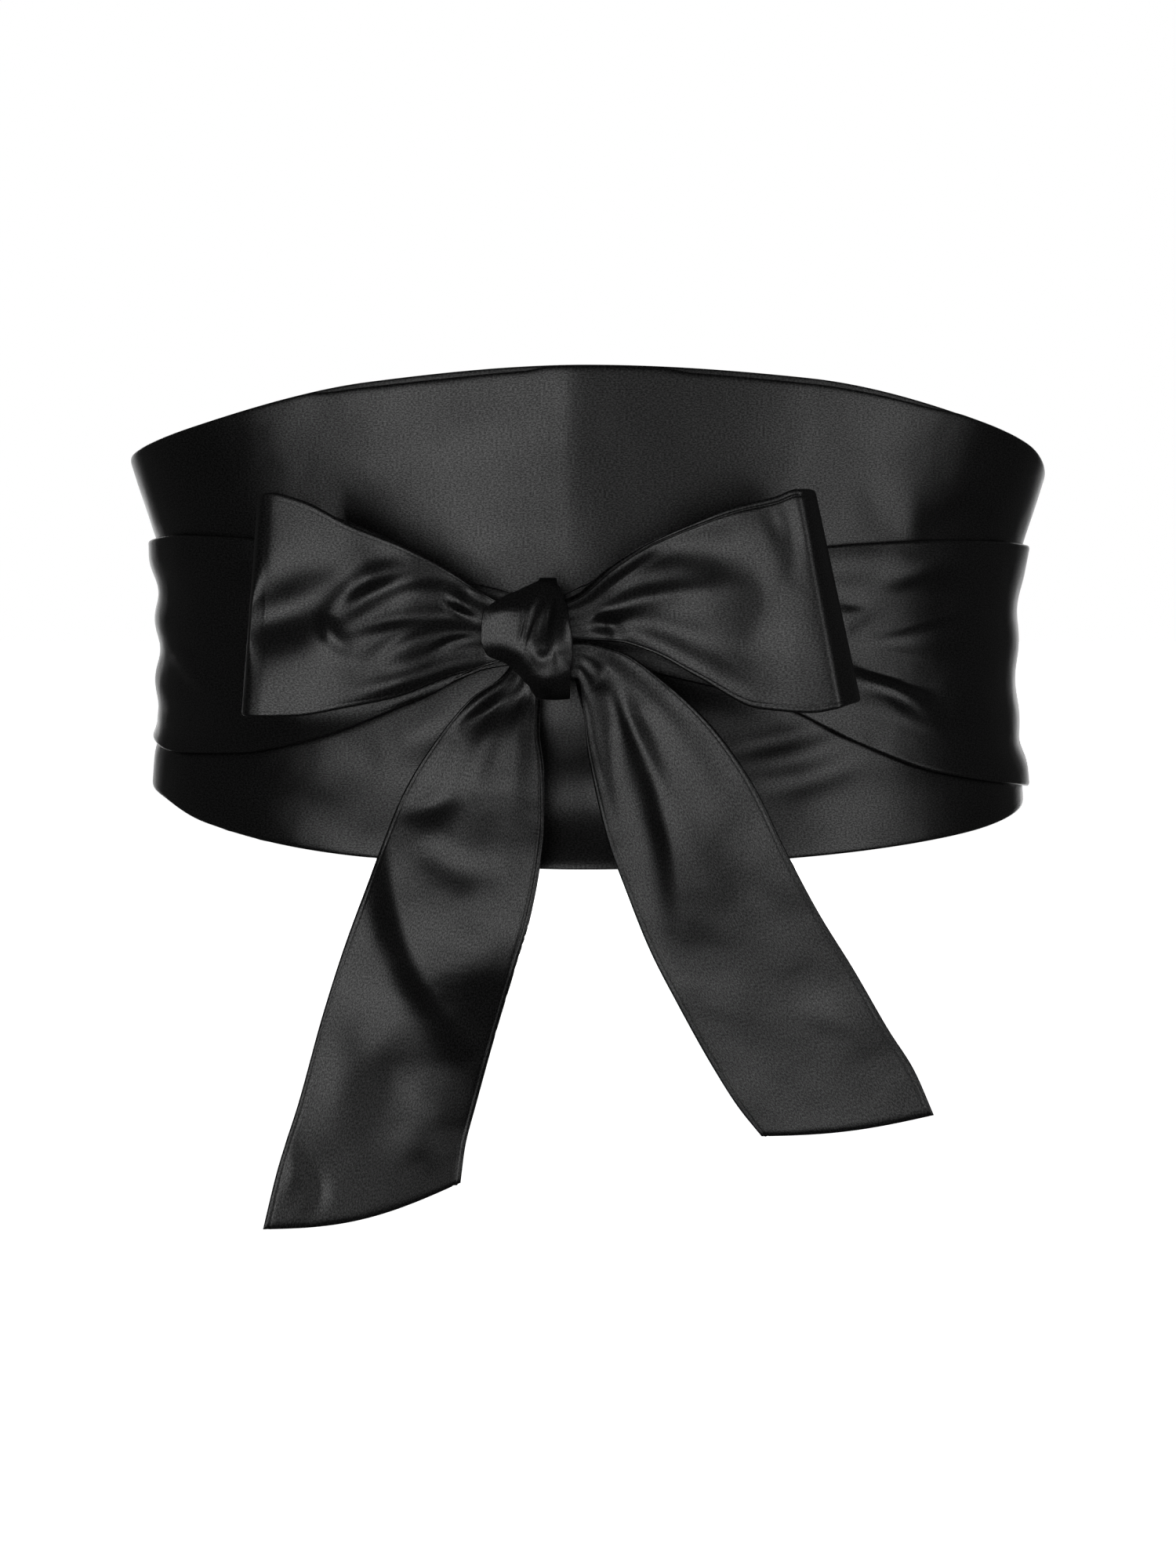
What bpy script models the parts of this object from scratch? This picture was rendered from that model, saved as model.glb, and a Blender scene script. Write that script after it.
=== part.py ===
"""A satin waist sash tied in a bow, in the hollow form it has on a wearer.

Metres, +Z up. The bow faces -Y and the origin is the middle of the waist, so the wearer's
body would fill the space round the Z axis. All sizes and tables below are in millimetres.
"""

import bpy
import numpy as np

MM = 0.001

# The waist, measured on the outer face of the panel where the ties draw it in.
HALF_WIDTH = 131.5
HALF_DEPTH = 96.0

PANEL_WALL = 2.0
TIE_WALL = 1.5
KNOT_WALL = 2.0

# Degrees round from the centre front: where the panel ends and the ties are sewn on, the
# turn that leaves 0.3 mm at that seam, and the spacing of the rows.
PANEL_END = 150.0
SEAM_TURN = 0.19
STEP = 7.5

# Edges of the panel: angle round from the centre front, top edge, bottom edge, share of flare.
PANEL_EDGES = (
    (-180.0, 38.0, -37.0, 0.08),
    (-150.0, 38.0, -37.0, 0.08),
    (-120.0, 41.0, -42.0, 0.4),
    (-90.0, 51.0, -49.5, 1.0),
    (-75.0, 54.8, -53.0, 1.0),
    (-60.0, 60.4, -60.0, 0.85),
    (-30.0, 73.4, -69.0, 0.2),
    (0.0, 78.2, -72.2, 0.15),
    (30.0, 74.6, -69.0, 0.2),
    (60.0, 62.2, -62.9, 0.75),
    (75.0, 54.5, -58.6, 1.0),
    (90.0, 46.8, -54.5, 1.0),
    (120.0, 40.5, -44.0, 0.4),
    (150.0, 38.0, -37.0, 0.08),
    (180.0, 38.0, -37.0, 0.08),
)

# How far the panel stands out from the waist: share of its height, distance out.
PANEL_FLARE = (
    (0.0, 4.8),
    (0.1, 4.0),
    (0.2, 0.9),
    (0.35, 0.0),
    (0.55, 0.3),
    (0.7, 2.0),
    (0.8, 5.0),
    (0.9, 8.4),
    (1.0, 11.6),
)

# The two ties on the panel: angle round from the centre front, bottom edge, top edge,
# gap under the tie, height of the folds along it. Past 180 they have crossed the back.
WRAP_LEFT = (
    (5.9, -10.0, 8.0, 4.6, 0.0),
    (13.0, -12.5, 12.0, 2.6, 0.5),
    (22.5, -22.0, 16.0, 0.9, 1.6),
    (37.5, -33.5, 23.0, 0.6, 1.2),
    (52.5, -38.5, 27.0, 0.6, 1.4),
    (67.5, -39.2, 27.8, 0.7, 1.8),
    (90.0, -35.0, 26.2, 0.7, 2.5),
    (112.5, -34.0, 29.0, 0.7, 1.6),
    (150.0, -36.0, 36.0, 0.7, 0.0),
    (172.5, -37.0, -0.3, 0.7, 1.2),
    (180.0, -37.0, -0.3, -0.5, 1.4),
    (187.5, -37.0, -0.3, -1.9, 0.0),
    (210.0, -36.0, 36.0, -1.8, 0.0),
)
WRAP_RIGHT = (
    (-4.5, -10.0, 8.0, 4.6, 0.0),
    (2.0, -11.0, 15.0, 3.0, 0.5),
    (15.0, -17.0, 20.0, 0.9, 1.4),
    (27.0, -25.0, 23.0, 0.7, 1.6),
    (37.5, -35.0, 25.0, 0.6, 1.6),
    (52.5, -44.5, 26.2, 0.6, 1.4),
    (67.5, -48.2, 26.0, 0.6, 1.2),
    (90.0, -50.5, 24.8, 0.6, 1.6),
    (112.5, -44.0, 28.0, 0.6, 1.4),
    (150.0, -36.0, 36.0, 0.7, 0.0),
    (172.5, 0.3, 37.0, 0.7, 1.2),
    (180.0, 0.3, 37.0, -0.5, 1.4),
    (187.5, 0.3, 37.0, -1.9, 0.0),
    (210.0, -36.0, 36.0, -1.8, 0.0),
)

# The knot is a band round the bundle. Angle round it from the front, up and over:
# left rim, right rim.
KNOT_RIMS = (
    (-90.0, -15.0, -5.3),
    (-71.0, -15.7, -5.2),
    (-52.0, -17.2, -5.1),
    (-31.0, -23.5, -4.8),
    (-18.0, -29.8, -4.4),
    (0.0, -31.8, -4.4),
    (25.0, -31.2, -5.4),
    (42.0, -25.6, -7.0),
    (55.0, -19.8, -8.4),
    (75.0, -14.6, -9.2),
    (90.0, -14.3, -9.2),
    (180.0, -14.5, -8.0),
    (270.0, -15.0, -5.3),
)
KNOT_Y = -111.5
KNOT_Z = -3.0
KNOT_HALF_HEIGHT = 17.9
KNOT_HALF_DEPTH = 9.5
KNOT_TIP = 0.16

# A loop, from the knot along its front face, round its outer end and back: row number,
# lower edge x and z, upper edge x and z, lower edge y, upper edge y, bulge, gathers.
LOOP_LEFT = (
    (0.0, -22.0, -8.5, -22.0, 5.5, -116.5, -116.5, 0.6, 0.1),
    (1.0, -31.0, -11.6, -31.0, 10.5, -113.9, -114.3, 1.2, 0.3),
    (2.0, -42.0, -15.0, -41.0, 17.0, -113.8, -115.0, 1.4, 0.5),
    (3.0, -56.0, -20.5, -54.0, 24.0, -114.6, -116.0, 1.4, 0.4),
    (4.0, -72.0, -23.8, -70.0, 30.5, -114.4, -115.4, 1.0, 0.2),
    (5.0, -87.0, -26.2, -84.0, 37.6, -112.4, -112.4, 0.8, 0.0),
    (6.0, -98.0, -26.4, -93.5, 40.2, -109.5, -109.0, 0.4, 0.0),
    (7.0, -101.9, -26.2, -97.0, 39.8, -107.0, -106.0, 0.2, 0.0),
    (8.0, -102.9, -26.0, -98.0, 39.2, -103.5, -103.0, 0.0, 0.0),
    (9.0, -101.5, -25.6, -96.6, 38.8, -100.2, -100.0, 0.0, 0.0),
    (10.0, -97.0, -25.2, -92.5, 38.2, -98.5, -98.5, 0.0, 0.0),
    (11.0, -80.0, -23.5, -78.0, 34.0, -99.5, -99.5, 0.0, 0.1),
    (12.0, -60.0, -20.0, -58.0, 26.0, -102.5, -102.5, 0.0, 0.2),
    (13.0, -42.0, -14.0, -42.0, 15.0, -105.5, -105.5, 0.0, 0.2),
    (14.0, -31.0, -9.5, -31.0, 8.5, -107.4, -107.4, 0.0, 0.1),
    (15.0, -22.0, -6.5, -22.0, 5.0, -108.5, -108.5, 0.0, 0.0),
)
LOOP_RIGHT = (
    (0.0, -11.0, -2.2, -11.0, 6.0, -117.2, -117.2, 0.2, 0.1),
    (1.0, -3.0, -3.2, -3.0, 9.0, -116.2, -115.8, 0.6, 0.1),
    (2.0, 8.0, -4.0, 7.0, 17.6, -113.0, -113.4, 1.2, 0.4),
    (3.0, 19.0, -7.4, 17.0, 24.6, -114.2, -114.4, 1.5, 0.4),
    (4.0, 33.0, -15.0, 30.0, 30.7, -116.2, -116.4, 1.5, 0.3),
    (5.0, 50.0, -23.8, 44.0, 36.2, -118.6, -118.4, 1.2, 0.2),
    (6.0, 65.0, -25.0, 55.0, 38.8, -119.6, -119.2, 0.8, 0.1),
    (7.0, 75.6, -23.6, 63.0, 41.2, -118.0, -117.4, 0.4, 0.0),
    (8.0, 79.8, -22.2, 66.4, 41.4, -113.6, -113.2, 0.2, 0.0),
    (9.0, 81.4, -21.6, 67.6, 40.8, -107.4, -107.2, 0.0, 0.0),
    (10.0, 80.2, -21.4, 66.6, 40.0, -102.6, -102.8, 0.0, 0.0),
    (11.0, 75.5, -21.6, 62.6, 39.0, -100.0, -100.5, 0.0, 0.0),
    (12.0, 60.0, -22.0, 50.0, 36.0, -100.5, -101.0, 0.0, 0.1),
    (13.0, 40.0, -17.0, 34.0, 29.5, -103.0, -103.0, 0.0, 0.2),
    (14.0, 20.0, -7.0, 18.0, 22.0, -105.5, -105.5, 0.0, 0.2),
    (15.0, 7.0, -3.0, 6.0, 14.5, -107.0, -107.0, 0.0, 0.1),
    (16.0, -3.0, -1.8, -3.0, 7.6, -108.4, -108.4, 0.0, 0.0),
    (17.0, -11.0, -1.6, -11.0, 5.6, -109.6, -109.6, 0.0, 0.0),
)

# Folds on the front of a piece: start x and z, a point half way, end x and z, half width,
# height. A height below zero is a groove.
LOOP_LEFT_FOLDS = (
    (-53.0, 18.6, -68.0, 13.0, -76.2, 3.6, 3.4, 1.5),
    (-42.0, 15.2, -61.5, 11.2, -72.8, 1.4, 3.0, -1.3),
    (-100.0, -14.0, -87.0, -9.0, -77.0, 0.0, 9.0, -4.0),
    (-62.0, -9.0, -52.0, -6.2, -37.0, -3.4, 4.2, 1.4),
)
LOOP_RIGHT_FOLDS = (
    (-2.0, 4.0, 15.0, 9.2, 34.0, 11.0, 4.0, 1.8),
    (13.0, 21.0, 34.0, 23.8, 49.0, 16.6, 5.6, -1.8),
    (40.0, 33.0, 49.0, 24.6, 54.0, 12.6, 3.6, 1.2),
    (10.0, 1.8, 30.0, -11.6, 56.0, -22.6, 4.2, 1.6),
)
TAIL_LEFT_FOLDS = (
    (-17.6, -17.4, -27.0, -23.6, -39.0, -30.6, 3.6, -2.0),
    (-50.4, -54.0, -44.6, -52.4, -37.0, -48.4, 4.0, -1.9),
    (-58.4, -56.0, -60.6, -80.0, -53.0, -108.0, 5.0, -2.2),
    (-56.0, -100.0, -46.0, -116.0, -28.0, -126.0, 9.0, -1.5),
)
TAIL_RIGHT_FOLDS = (
    (12.0, -30.0, 19.2, -56.0, 18.6, -88.0, 4.0, -1.8),
    (5.0, -10.0, 13.0, -28.0, 22.0, -48.0, 3.6, 1.3),
    (20.0, -42.0, 26.0, -62.0, 28.0, -86.0, 4.4, 1.3),
)

# A tail, from the knot down: row number, left edge x and z, right edge x and z,
# left edge y, right edge y, bulge, gathers.
TAIL_LEFT = (
    (0.0, -20.5, -9.0, -15.1, -12.5, -105.0, -105.0, 0.0, 0.0),
    (1.0, -24.5, -14.0, -15.1, -20.5, -105.0, -105.4, 0.2, 0.1),
    (2.0, -34.0, -20.0, -15.2, -30.0, -105.2, -106.2, 0.6, 0.3),
    (3.0, -45.0, -33.0, -13.4, -43.0, -104.4, -107.0, 1.0, 0.3),
    (4.0, -54.0, -47.0, -13.0, -57.0, -102.8, -107.4, 1.2, 0.2),
    (5.0, -61.0, -63.0, -14.2, -70.0, -101.0, -108.2, 1.4, 0.1),
    (6.0, -67.0, -79.0, -17.0, -85.0, -100.4, -108.6, 1.4, 0.0),
    (7.0, -73.5, -97.0, -21.3, -100.0, -99.8, -107.2, 1.2, 0.0),
    (8.0, -80.0, -118.0, -27.2, -120.0, -99.4, -100.6, 0.8, 0.0),
    (9.0, -86.5, -142.0, -33.2, -142.0, -98.6, -94.8, 0.4, 0.0),
    (10.0, -92.5, -161.0, -36.6, -155.5, -97.8, -93.0, 0.4, 0.0),
    (11.0, -97.0, -179.6, -38.0, -166.2, -97.0, -92.4, 0.4, 0.0),
)
TAIL_RIGHT = (
    (0.0, -11.0, -14.6, -11.0, -6.2, -115.4, -116.4, 0.0, 0.0),
    (1.0, -3.2, -14.8, -2.6, -4.4, -114.8, -115.8, 0.3, 0.1),
    (2.0, -1.6, -23.0, 9.0, -6.8, -111.0, -113.0, 0.6, 0.2),
    (3.0, -0.7, -34.0, 24.0, -17.0, -108.8, -111.8, 0.8, 0.3),
    (4.0, 1.6, -47.0, 37.0, -29.4, -106.6, -111.4, 0.8, 0.2),
    (5.0, 5.4, -62.5, 49.0, -46.5, -105.4, -111.2, 0.8, 0.1),
    (6.0, 11.0, -78.0, 58.0, -65.0, -104.6, -110.8, 0.8, 0.1),
    (7.0, 18.2, -96.0, 68.0, -84.0, -103.8, -110.2, 0.6, 0.0),
    (8.0, 27.2, -113.5, 78.5, -101.0, -103.2, -109.6, 0.6, 0.0),
    (9.0, 37.0, -131.0, 89.0, -119.0, -102.8, -109.0, 0.6, 0.0),
    (10.0, 44.5, -142.8, 96.6, -131.0, -102.6, -108.6, 0.6, 0.0),
    (11.0, 51.6, -151.7, 102.6, -144.6, -102.4, -108.2, 0.6, 0.0),
)


def between(rows, key):
    """The columns that a table gives for a key in its first column, smooth and without overshoot."""
    rows = np.asarray(rows, float)
    keys = rows[:, 0]
    key = min(max(key, keys[0]), keys[-1])
    i = min(int(np.searchsorted(keys, key, side="right")) - 1, len(keys) - 2)
    spans = np.diff(keys)
    rises = np.diff(rows[:, 1:], axis=0) / spans[:, None]

    def slope(j):
        if j in (0, len(keys) - 1):
            return rises[min(j, len(spans) - 1)]
        before, after = rises[j - 1], rises[j]
        same = before * after > 0
        total = np.where(same, before + after, 1.0)
        return np.where(same, 2 * before * after / total, 0.0)

    s = (key - keys[i]) / spans[i]
    low, high = rows[i, 1:], rows[i + 1, 1:]
    start, end = slope(i) * spans[i], slope(i + 1) * spans[i]
    part_low = (1 + 2 * s) * (1 - s) ** 2 * low + s * (1 - s) ** 2 * start
    part_high = s * s * (3 - 2 * s) * high + s * s * (s - 1) * end
    return part_low + part_high


def panel_edges(angle):
    turned = (angle + 180.0) % 360.0 - 180.0
    return between(PANEL_EDGES, turned)


def on_waist(angle, height, out):
    """A point on the panel's outer face, moved out along the waist's normal."""
    top, bottom, flare = panel_edges(angle)
    share = (height - bottom) / (top - bottom)
    out = out + flare * between(PANEL_FLARE, share)[0]
    turn = np.radians(angle)
    across = np.array([HALF_WIDTH * np.sin(turn), -HALF_DEPTH * np.cos(turn)])
    normal = np.array([np.sin(turn) / HALF_WIDTH, -np.cos(turn) / HALF_DEPTH])
    normal /= np.linalg.norm(normal)
    x, y = across + normal * out
    return x, y, height


def sheet(name, grid, wall, side, material, ring=False):
    """A cloth wall on a grid of points whose faces look outward.

    The side is +1 to thicken outward and -1 to thicken inward.
    """
    grid = np.asarray(grid, float) * MM
    rows, columns = grid.shape[:2]
    faces = []
    for i in range(rows if ring else rows - 1):
        k = (i + 1) % rows
        for j in range(columns - 1):
            a, b = i * columns + j, k * columns + j
            faces.append((a, b, b + 1, a + 1))
    mesh = bpy.data.meshes.new(name)
    mesh.from_pydata(grid.reshape(-1, 3).tolist(), [], faces)
    mesh.materials.append(material)
    node = bpy.data.objects.new(name, mesh)
    shell = node.modifiers.new("wall", "SOLIDIFY")
    shell.thickness = wall * MM
    shell.offset = side
    shell.use_even_offset = False
    collection.objects.link(node)
    return node


def satin(name, shade):
    material = bpy.data.materials.new(name)
    material.use_nodes = True
    shader = material.node_tree.nodes["Principled BSDF"]
    shader.inputs["Base Color"].default_value = (shade, shade, shade, 1)
    shader.inputs["Roughness"].default_value = 0.42
    return material


def panel_grid():
    angles = np.arange(-PANEL_END, PANEL_END + 0.1, STEP)
    shares = [row[0] for row in PANEL_FLARE]
    grid = []
    for angle in angles:
        top, bottom, _ = panel_edges(angle)
        heights = [bottom + (top - bottom) * share for share in shares]
        grid.append([on_waist(angle, height, 0.0) for height in heights])
    return grid


def wrap_grid(rows, side, columns=12):
    """A tie laid on the panel: its inner face is the panel's outer face, moved out."""
    first, last = rows[0][0], rows[-1][0] - SEAM_TURN
    stops = [first] + [a for a in np.arange(0, 209, STEP) if a > first + 2] + [last]
    grid = []
    for sweep in stops:
        bottom, top, gap, fold = between(rows, sweep)
        line = []
        for v in np.linspace(0, 1, columns + 1):
            wave = 0.5 + 0.5 * np.cos(2 * np.pi * (v - 0.3) / 0.3)
            rise = fold * wave if v > 0.15 else 0.0
            line.append(on_waist(side * sweep, bottom + (top - bottom) * v, gap + rise))
        grid.append(line)
    return grid


def knot_grid(around=24, across=6):
    grid = []
    for turn in np.linspace(-90, 270, around, endpoint=False):
        left, right = between(KNOT_RIMS, turn)
        up, front = np.sin(np.radians(turn)), np.cos(np.radians(turn))
        line = []
        for u in np.linspace(0, 1, across + 1):
            drawn_in = 1 - KNOT_TIP * (1 - u) ** 3 * max(front, 0)
            y = KNOT_Y - KNOT_HALF_DEPTH * front * drawn_in
            line.append((left + (right - left) * u, y, KNOT_Z + KNOT_HALF_HEIGHT * up))
        grid.append(line)
    return grid


def fold_height(folds, x, z):
    """How far the folds lift the cloth at a point of the front view."""
    t = np.linspace(0, 1, 25)
    total = 0.0
    for x0, z0, x1, z1, x2, z2, width, height in folds:
        bend_x, bend_z = 2 * x1 - (x0 + x2) / 2, 2 * z1 - (z0 + z2) / 2
        path_x = (1 - t) ** 2 * x0 + 2 * t * (1 - t) * bend_x + t * t * x2
        path_z = (1 - t) ** 2 * z0 + 2 * t * (1 - t) * bend_z + t * t * z2
        far = np.hypot(path_x - x, path_z - z)
        nearest = int(np.argmin(far))
        fade = np.sin(np.pi * (0.1 + 0.8 * t[nearest])) ** 0.7
        total += height * fade * np.exp(-((far[nearest] / width) ** 2))
    return total


def band_grid(rows, steps, columns, folds, front_rows=99, sag=0.0):
    """A stretch of tie between two edges. It bulges and folds toward the front.

    The folds are on the front rows, which a loop has before its outer end. A tail's hem
    sags in the middle.
    """
    grid = []
    for key in np.linspace(0, rows[-1][0], steps + 1):
        x0, z0, x1, z1, y0, y1, bulge, gather = between(rows, key)
        front = min(max(front_rows - key, 0), 1)
        hem = sag * (key / rows[-1][0]) ** 8
        line = []
        for v in np.linspace(0, 1, columns + 1):
            x = x0 + (x1 - x0) * v
            z = z0 + (z1 - z0) * v - hem * np.sin(np.pi * v)
            fold = gather * np.sin(2 * np.pi * 3 * v) * np.sin(np.pi * v) ** 0.5
            if front > 0:
                fold += front * fold_height(folds, x, z)
            y = y0 + (y1 - y0) * v - bulge * np.sin(np.pi * v) - fold
            line.append((x, y, z))
        grid.append(line)
    return grid


for old in list(bpy.data.objects):
    bpy.data.objects.remove(old)
collection = bpy.data.collections.new("satin_sash")
bpy.context.scene.collection.children.link(collection)

panel_satin = satin("panel_satin", 0.018)
tie_satin = satin("tie_satin", 0.015)

sheet("body_panel", panel_grid(), PANEL_WALL, -1, panel_satin)
sheet("wrap_left", wrap_grid(WRAP_LEFT, -1)[::-1], TIE_WALL, 1, tie_satin)
sheet("wrap_right", wrap_grid(WRAP_RIGHT, 1), TIE_WALL, 1, tie_satin)
sheet("loop_left", band_grid(LOOP_LEFT, 32, 15, LOOP_LEFT_FOLDS, 7)[::-1], TIE_WALL, -1, tie_satin)
sheet("loop_right", band_grid(LOOP_RIGHT, 34, 15, LOOP_RIGHT_FOLDS, 8), TIE_WALL, -1, tie_satin)
sheet("knot", knot_grid()[::-1], KNOT_WALL, -1, tie_satin, ring=True)
sheet("tail_left", band_grid(TAIL_LEFT, 22, 12, TAIL_LEFT_FOLDS, sag=4.0), TIE_WALL, -1, tie_satin)
sheet("tail_right", band_grid(TAIL_RIGHT, 22, 12, TAIL_RIGHT_FOLDS, sag=1.6), TIE_WALL, -1, tie_satin)
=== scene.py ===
"""The looks of the satin waist sash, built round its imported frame.

The cloth follows the sections of the part's source, at full detail: turned edges, seams, the
panel's second layer, and the folds that the photograph shows. The outer end of the right loop
and the right edges of the tails stand a few millimetres nearer the viewer than in their
solids. Tables are in millimetres.
"""

import bpy
import numpy as np
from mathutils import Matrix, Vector


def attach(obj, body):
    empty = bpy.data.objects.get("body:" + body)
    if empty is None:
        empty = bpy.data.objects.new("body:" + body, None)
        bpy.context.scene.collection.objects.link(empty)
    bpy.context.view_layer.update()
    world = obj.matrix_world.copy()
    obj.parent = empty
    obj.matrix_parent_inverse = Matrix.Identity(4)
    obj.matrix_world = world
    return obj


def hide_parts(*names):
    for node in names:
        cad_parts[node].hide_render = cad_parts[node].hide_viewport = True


MM = 0.001

# The photograph: where the camera stands and how long its lens is.
AIM = Vector((0.0, 0.0, -0.05))
CAMERA_DISTANCE = 2.0
CAMERA_ELEVATION = 2.0
LENS = 146.56

# The waist, measured on the outer face of the panel where the ties draw it in.
HALF_WIDTH = 131.5
HALF_DEPTH = 96.0

# How thick the cloth is. The panel is drawn as two layers with a gap between them.
PANEL_WALL = 2.0
PANEL_LAYER = 1.15
FACING_LAYER = 0.65
TIE_WALL = 1.5
KNOT_WALL = 2.0

# Degrees round from the centre front: where the panel ends, and how far before its last
# section a tie stops there.
PANEL_END = 150.0
SEAM_TURN = 0.19

# Edges of the panel: angle round from the centre front, top edge, bottom edge, share of flare.
PANEL_EDGES = (
    (-180.0, 38.0, -37.0, 0.08),
    (-150.0, 38.0, -37.0, 0.08),
    (-120.0, 41.0, -42.0, 0.4),
    (-90.0, 51.0, -49.5, 1.0),
    (-75.0, 54.8, -53.0, 1.0),
    (-60.0, 60.4, -60.0, 0.85),
    (-30.0, 73.4, -69.0, 0.2),
    (0.0, 78.2, -72.2, 0.15),
    (30.0, 74.6, -69.0, 0.2),
    (60.0, 62.2, -62.9, 0.75),
    (75.0, 54.5, -58.6, 1.0),
    (90.0, 46.8, -54.5, 1.0),
    (120.0, 40.5, -44.0, 0.4),
    (150.0, 38.0, -37.0, 0.08),
    (180.0, 38.0, -37.0, 0.08),
)

# How far the panel stands out from the waist: share of its height, distance out.
PANEL_FLARE = (
    (0.0, 4.8),
    (0.1, 4.0),
    (0.2, 0.9),
    (0.35, 0.0),
    (0.55, 0.3),
    (0.7, 2.0),
    (0.8, 5.0),
    (0.9, 8.4),
    (1.0, 11.6),
)

# How far the inner layer shows above the outer one: angle round, height that shows.
PANEL_PEEK = (
    (-150.0, 0.2),
    (-40.0, 0.2),
    (-34.0, 1.4),
    (-20.0, 1.7),
    (-8.0, 1.3),
    (-5.0, 0.3),
    (9.0, 0.3),
    (14.0, 1.5),
    (30.0, 1.7),
    (48.0, 1.3),
    (56.0, 0.2),
    (150.0, 0.2),
)

# The two ties on the panel: angle round from the centre front, bottom edge, top edge,
# gap under the tie, height of the folds along it. Past 180 they have crossed the back.
WRAP_LEFT = (
    (5.9, -10.0, 8.0, 4.6, 0.0),
    (13.0, -12.5, 12.0, 2.6, 0.5),
    (22.5, -22.0, 16.0, 0.9, 1.6),
    (37.5, -33.5, 23.0, 0.6, 1.2),
    (52.5, -38.5, 27.0, 0.6, 1.4),
    (67.5, -39.2, 27.8, 0.7, 1.8),
    (90.0, -35.0, 26.2, 0.7, 2.5),
    (112.5, -34.0, 29.0, 0.7, 1.6),
    (150.0, -36.0, 36.0, 0.7, 0.0),
    (172.5, -37.0, -0.3, 0.7, 1.2),
    (180.0, -37.0, -0.3, -0.5, 1.4),
    (187.5, -37.0, -0.3, -1.9, 0.0),
    (210.0, -36.0, 36.0, -1.8, 0.0),
)
WRAP_RIGHT = (
    (-4.5, -10.0, 8.0, 4.6, 0.0),
    (2.0, -11.0, 15.0, 3.0, 0.5),
    (15.0, -17.0, 20.0, 0.9, 1.4),
    (27.0, -25.0, 23.0, 0.7, 1.6),
    (37.5, -35.0, 25.0, 0.6, 1.6),
    (52.5, -44.5, 26.2, 0.6, 1.4),
    (67.5, -48.2, 26.0, 0.6, 1.2),
    (90.0, -50.5, 24.8, 0.6, 1.6),
    (112.5, -44.0, 28.0, 0.6, 1.4),
    (150.0, -36.0, 36.0, 0.7, 0.0),
    (172.5, 0.3, 37.0, 0.7, 1.2),
    (180.0, 0.3, 37.0, -0.5, 1.4),
    (187.5, 0.3, 37.0, -1.9, 0.0),
    (210.0, -36.0, 36.0, -1.8, 0.0),
)

# The knot is a band round the bundle. Angle round it from the front, up and over:
# left rim, right rim.
KNOT_RIMS = (
    (-90.0, -15.0, -5.3),
    (-71.0, -15.7, -5.2),
    (-52.0, -17.2, -5.1),
    (-31.0, -23.5, -4.8),
    (-18.0, -29.8, -4.4),
    (0.0, -31.8, -4.4),
    (25.0, -31.2, -5.4),
    (42.0, -25.6, -7.0),
    (55.0, -19.8, -8.4),
    (75.0, -14.6, -9.2),
    (90.0, -14.3, -9.2),
    (180.0, -14.5, -8.0),
    (270.0, -15.0, -5.3),
)
KNOT_Y = -111.5
KNOT_Z = -3.0
KNOT_HALF_HEIGHT = 17.9
KNOT_HALF_DEPTH = 9.5

# On its front: how far its left tip is drawn in and its right side stands out, as shares of
# the half depth. Its folds are at full height where the cosine of the angle is above the last.
KNOT_TIP = 0.16
KNOT_RIGHT_RISE = 0.55
KNOT_FOLD_COSINE = 0.25

# A loop, from the knot along its front face, round its outer end and back: row number,
# lower edge x and z, upper edge x and z, lower edge y, upper edge y, bulge, gathers.
LOOP_LEFT = (
    (0.0, -22.0, -8.5, -22.0, 5.5, -116.5, -116.5, 0.6, 0.1),
    (1.0, -31.0, -11.6, -31.0, 10.5, -113.9, -114.3, 1.2, 0.3),
    (2.0, -42.0, -15.0, -41.0, 17.0, -113.8, -115.0, 1.4, 0.5),
    (3.0, -56.0, -20.5, -54.0, 24.0, -114.6, -116.0, 1.4, 0.4),
    (4.0, -72.0, -23.8, -70.0, 30.5, -114.4, -115.4, 1.0, 0.2),
    (5.0, -87.0, -26.2, -84.0, 37.6, -112.4, -112.4, 0.8, 0.0),
    (6.0, -98.0, -26.4, -93.5, 40.2, -109.5, -109.0, 0.4, 0.0),
    (7.0, -101.9, -26.2, -97.0, 39.8, -107.0, -106.0, 0.2, 0.0),
    (8.0, -102.9, -26.0, -98.0, 39.2, -103.5, -103.0, 0.0, 0.0),
    (9.0, -101.5, -25.6, -96.6, 38.8, -100.2, -100.0, 0.0, 0.0),
    (10.0, -97.0, -25.2, -92.5, 38.2, -98.5, -98.5, 0.0, 0.0),
    (11.0, -80.0, -23.5, -78.0, 34.0, -99.5, -99.5, 0.0, 0.1),
    (12.0, -60.0, -20.0, -58.0, 26.0, -102.5, -102.5, 0.0, 0.2),
    (13.0, -42.0, -14.0, -42.0, 15.0, -105.5, -105.5, 0.0, 0.2),
    (14.0, -31.0, -9.5, -31.0, 8.5, -107.4, -107.4, 0.0, 0.1),
    (15.0, -22.0, -6.5, -22.0, 5.0, -108.5, -108.5, 0.0, 0.0),
)
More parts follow.
